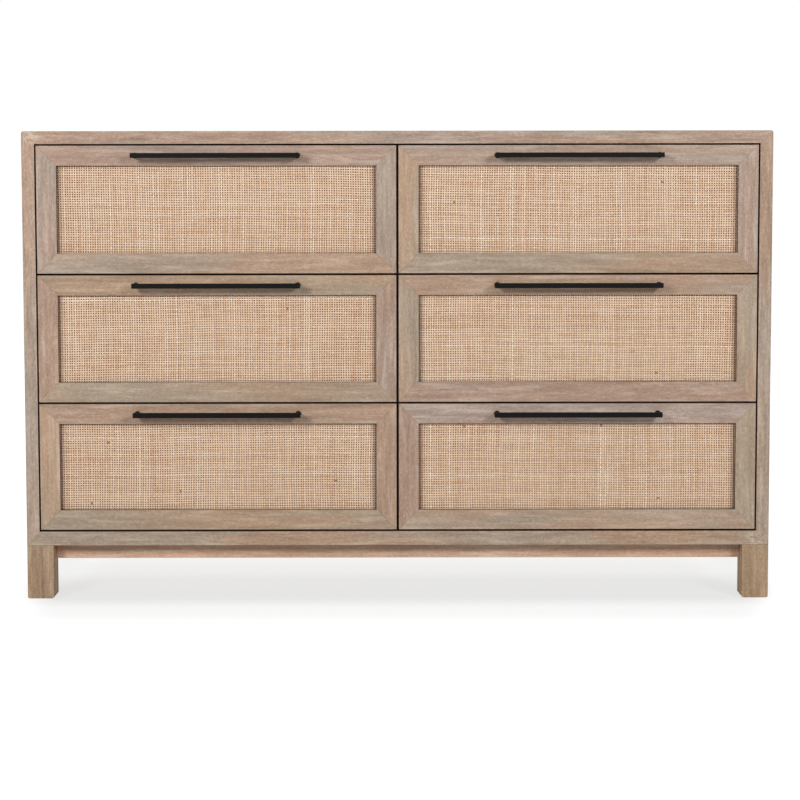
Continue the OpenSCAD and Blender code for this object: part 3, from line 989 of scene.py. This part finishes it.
def make_box(spot, body):
    """A dovetailed drawer box of five boards."""
    node = "drawer_box_" + spot
    lo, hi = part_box(node)
    piece = Piece(f"{spot}_drawer_boards", body, [node], "drawer_box_wood")
    front, back = tail_edge(lo.z, hi.z, lo.y, 1), tail_edge(lo.z, hi.z, hi.y, -1)
    for x0, x1 in ((lo.x, lo.x + BOX_T), (hi.x - BOX_T, hi.x)):
        bm = prism(front + back[::-1], "x", x0, x1)
        bevel(bm, list(bm.edges), 0.25 * MM, 1, 0.3)
        piece.add(bm, "y")
        for y, inward in ((lo.y, 1), (hi.y, -1)):
            for outline in pins(lo.z, hi.z, y, inward):
                bm = prism(outline, "x", x0 + GLUE, x1 - GLUE)
                bevel(bm, list(bm.edges), 0.2 * MM, 1, 0.0)
                piece.add(bm, "x")
    for y0 in (lo.y, hi.y - BOX_T):
        piece.add(board(
            (lo.x + BOX_T, y0, lo.z), (hi.x - BOX_T, y0 + BOX_T, hi.z), 0.6 * MM,
        ), "x")
    inset = BOX_T - GROOVE_D
    piece.add(board(
        (lo.x + inset, lo.y + inset, lo.z + GROOVE_RISE),
        (hi.x - inset, hi.y - inset, lo.z + GROOVE_RISE + BOX_BOTTOM_T), 0.3 * MM,
    ), "x")
    piece.build(BOX_WOOD)


def make_pull(spot, body):
    """A square bar on two turned posts with wider bases, and the screws behind the front."""
    node = "pull_handle_" + spot
    lo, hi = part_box(node)
    z = (lo.z + hi.z) / 2
    frame_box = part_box("front_frame_" + spot)
    piece = Piece(f"{spot}_bar_pull", body, [node], "black_metal")
    piece.add(board(
        (lo.x, lo.y, z - BAR_W / 2), (hi.x, lo.y + BAR_W, z + BAR_W / 2), segments=3,
    ), "x")
    length = frame_box[0].y - lo.y - BAR_W
    base = [(5.8, 0), (6.0, 0.25), (6.0, 2.5), (5.85, 2.85), (5.5, 3.0), (5.2, 3.2), (5.0, 3.7),
            (5.0, length / MM)]
    for x in (lo.x + POST_INSET, hi.x - POST_INSET):
        foot = (x, frame_box[0].y, z)
        piece.add(turned([(r * MM, h * MM) for r, h in base], foot, (0, -1, 0), steps=40))
        behind = (x, frame_box[1].y, z)
        piece.add(screw_head(behind, (0, 1, 0), PULL_SCREW_R, hi.y - frame_box[1].y))
    piece.build(BLACK)


def sheet_outline(points, thickness):
    """The outline of a bent sheet: its centre line, moved half the thickness to each side."""
    line = [Vector(p) for p in points]
    sides = ([], [])
    for k, p in enumerate(line):
        before = (p - line[k - 1]).normalized() if k else None
        after = (line[k + 1] - p).normalized() if k + 1 < len(line) else None
        way = ((before or after) + (after or before)).normalized()
        normal = Vector((-way.y, way.x))
        turn = max(0.5, normal.dot(Vector((-(after or before).y, (after or before).x))))
        for side, sign in zip(sides, (1, -1)):
            side.append(tuple(p + normal * sign * thickness / 2 / turn))
    return sides[0] + sides[1][::-1]


def channel_line(depth, height):
    """Centre line of a slide member: web at 0, two flanges with lips that curl inwards."""
    t, r = SHEET_T / 2, SLIDE_BEND
    half = [(t, 0.0)]
    for k in range(5):
        a = math.radians(90 * k / 4)
        half.append((t + r - r * math.cos(a), height / 2 - t - r + r * math.sin(a)))
    for k in range(5):
        a = math.radians(90 * k / 4)
        half.append((depth - t - r + r * math.sin(a), height / 2 - t - r + r * math.cos(a)))
    half.append((depth - t, height / 2 - t - r - 0.5 * MM))
    return [(x, -z) for x, z in half[:0:-1]] + half[1:]


def add_channel(piece, wall, way, z, y0, y1, depth, height):
    """A slide member whose web is at wall and whose flanges point along way."""
    outline = sheet_outline(channel_line(depth, height), SHEET_T)
    bm = loft([[(wall + way * x, y, z + dz) for x, dz in outline] for y in (y0, y1)])
    piece.add(bm, "y")


def ball(centre):
    """A bearing ball."""
    arc = [math.radians(10 + 160 * k / 7) for k in range(8)]
    profile = [(BALL_R * math.sin(a), -BALL_R * math.cos(a)) for a in arc]
    return turned(profile, centre, (0, 0, 1), steps=12)


def make_slides(spot, body, slide_body):
    """The slide members on the box, with screws, and the middle ones, with balls and cages."""
    drawer_lo, drawer_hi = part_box("drawer_slides_" + spot)
    middle_lo, middle_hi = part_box("middle_slides_" + spot)
    box_lo, box_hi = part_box("drawer_box_" + spot)
    y0, y1 = drawer_lo.y, drawer_hi.y
    z = (drawer_lo.z + drawer_hi.z) / 2
    on_box = Piece(f"{spot}_drawer_members", body, ["drawer_slides_" + spot], "zinc_steel")
    between = Piece(f"{spot}_middle_members", slide_body, ["middle_slides_" + spot], "zinc_steel")
    middle_h = middle_hi.z - middle_lo.z
    drawer_h = drawer_hi.z - drawer_lo.z
    for way, box_side, outer, mid in (
        (-1, box_lo.x, drawer_lo.x, middle_lo.x), (1, box_hi.x, drawer_hi.x, middle_hi.x),
    ):
        add_channel(on_box, box_side, way, z, y0, y1, abs(outer - box_side), drawer_h)
        web = box_side + way * SHEET_T
        for y in spread(y0 + SLIDE_SCREW_INSET, y1 - SLIDE_SCREW_INSET, SLIDE_SCREWS):
            on_box.add(screw_head((web, y, z), (way, 0, 0), SLIDE_SCREW_R, SLIDE_SCREW_H))
        add_channel(between, mid, -way, z, y0, y1, MIDDLE_DEPTH, middle_h)
        for sign in (-1, 1):
            outer_z = z + sign * (middle_h / 2 + RACE_RISE)
            inner_z = z + sign * (drawer_h / 2 + RACE_RISE)
            x = mid - way * BALL_DEPTH
            for race_z, (first, last) in ((outer_z, OUTER_RACE), (inner_z, INNER_RACE)):
                spots_y = spread(y0 + (y1 - y0) * first, y0 + (y1 - y0) * last, BALLS)
                for y in spots_y:
                    between.add(ball((x, y, race_z)))
                between.add(board(
                    (x - CAGE_W / 2, spots_y[0] - CAGE_END, race_z - CAGE_T / 2),
                    (x + CAGE_W / 2, spots_y[-1] + CAGE_END, race_z + CAGE_T / 2), 0.2 * MM, 1,
                ), "y")
    on_box.build(ZINC)
    between.build(ZINC)


def make_case_slides():
    """The twelve slide members on the case's walls."""
    lo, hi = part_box("case_slides")
    piece = Piece("case_slide_members", "root", ["case_slides"], "zinc_steel")
    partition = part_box("centre_partition")
    for spot, side in SPOTS:
        box_lo, box_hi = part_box("drawer_slides_" + spot)
        z = (box_lo.z + box_hi.z) / 2
        walls = (lo.x, partition[0].x) if side == "left" else (partition[1].x, hi.x)
        for wall, way in zip(walls, (1, -1)):
            add_channel(piece, wall, way, z, lo.y, hi.y, OUTER_DEPTH, OUTER_H)
    piece.build(ZINC)


# ---------------------------------------------------------------- stage

def make_camera():
    """A long lens at the height of the top drawers, looking slightly down."""
    data = bpy.data.cameras.new("camera")
    data.lens = CAMERA_LENS
    data.sensor_width = 36
    data.shift_y = CAMERA_SHIFT
    data.clip_end = 100
    camera = bpy.data.objects.new("camera", data)
    bpy.context.scene.collection.objects.link(camera)
    spot = Matrix.Translation((CAMERA_X, FRONT_Y - CAMERA_DISTANCE, CAMERA_HEIGHT))
    yaw = Matrix.Rotation(math.radians(CAMERA_YAW), 4, "Z")
    tilt = Matrix.Rotation(math.radians(90 - CAMERA_PITCH), 4, "X")
    roll = Matrix.Rotation(math.radians(CAMERA_ROLL), 4, "Z")
    camera.matrix_world = spot @ yaw @ tilt @ roll
    bpy.context.scene.camera = camera


def make_light(name, azimuth, elevation, distance, size, strength):
    """A square soft box that faces the middle of the dresser. 0 degrees is straight in front."""
    data = bpy.data.lights.new(name, "AREA")
    data.shape = "SQUARE"
    data.size = size
    data.energy = strength * distance ** 2
    light = bpy.data.objects.new(name, data)
    bpy.context.scene.collection.objects.link(light)
    a, e = math.radians(azimuth), math.radians(elevation)
    way = Vector((math.sin(a) * math.cos(e), -math.cos(a) * math.cos(e), math.sin(e)))
    target = Vector((0, 0, CASE_TOP / 2))
    light.location = target + way * distance
    light.rotation_euler = way.to_track_quat("Z", "Y").to_euler()


def make_stage():
    """A pale floor, an even white surround, two soft boxes high in front and a fill behind."""
    mesh = bpy.data.meshes.new("floor")
    rim = [2 * math.pi * k / 48 for k in range(48)]
    mesh.from_pydata(
        [(FLOOR_R * math.cos(t), FLOOR_R * math.sin(t), 0) for t in rim], [], [range(48)],
    )
    mesh.materials.append(pale_floor())
    floor = bpy.data.objects.new("floor", mesh)
    bpy.context.scene.collection.objects.link(floor)

    world = bpy.data.worlds.new("white_surround")
    world.use_nodes = True
    tree = world.node_tree
    tree.nodes.clear()
    out = tree.nodes.new("ShaderNodeOutputWorld")
    path = tree.nodes.new("ShaderNodeLightPath")
    mixer = tree.nodes.new("ShaderNodeMixShader")
    for k, strength in ((1, AIR_LIGHT), (2, 1.0)):
        air = tree.nodes.new("ShaderNodeBackground")
        air.inputs["Color"].default_value = (1, 1, 1, 1)
        air.inputs["Strength"].default_value = strength
        tree.links.new(air.outputs[0], mixer.inputs[k])
    tree.links.new(path.outputs["Is Camera Ray"], mixer.inputs[0])
    tree.links.new(mixer.outputs[0], out.inputs["Surface"])
    bpy.context.scene.world = world
    bpy.context.scene.view_settings.view_transform = "Standard"
    bpy.context.scene.cycles.denoising_prefilter = "NONE"

    for light in LIGHTS:
        make_light(*light)


make_camera()
make_stage()
make_case()
make_back_screws()
make_legs()
make_aprons()
make_corner_blocks()
make_glides()
make_case_slides()
for number, (spot, _) in enumerate(SPOTS):
    drawer = spot + "_drawer"
    make_front(spot, drawer)
    make_cane(spot, drawer, number)
    make_backing(spot, drawer)
    make_box(spot, drawer)
    make_pull(spot, drawer)
    make_slides(spot, drawer, spot + "_slide_members")
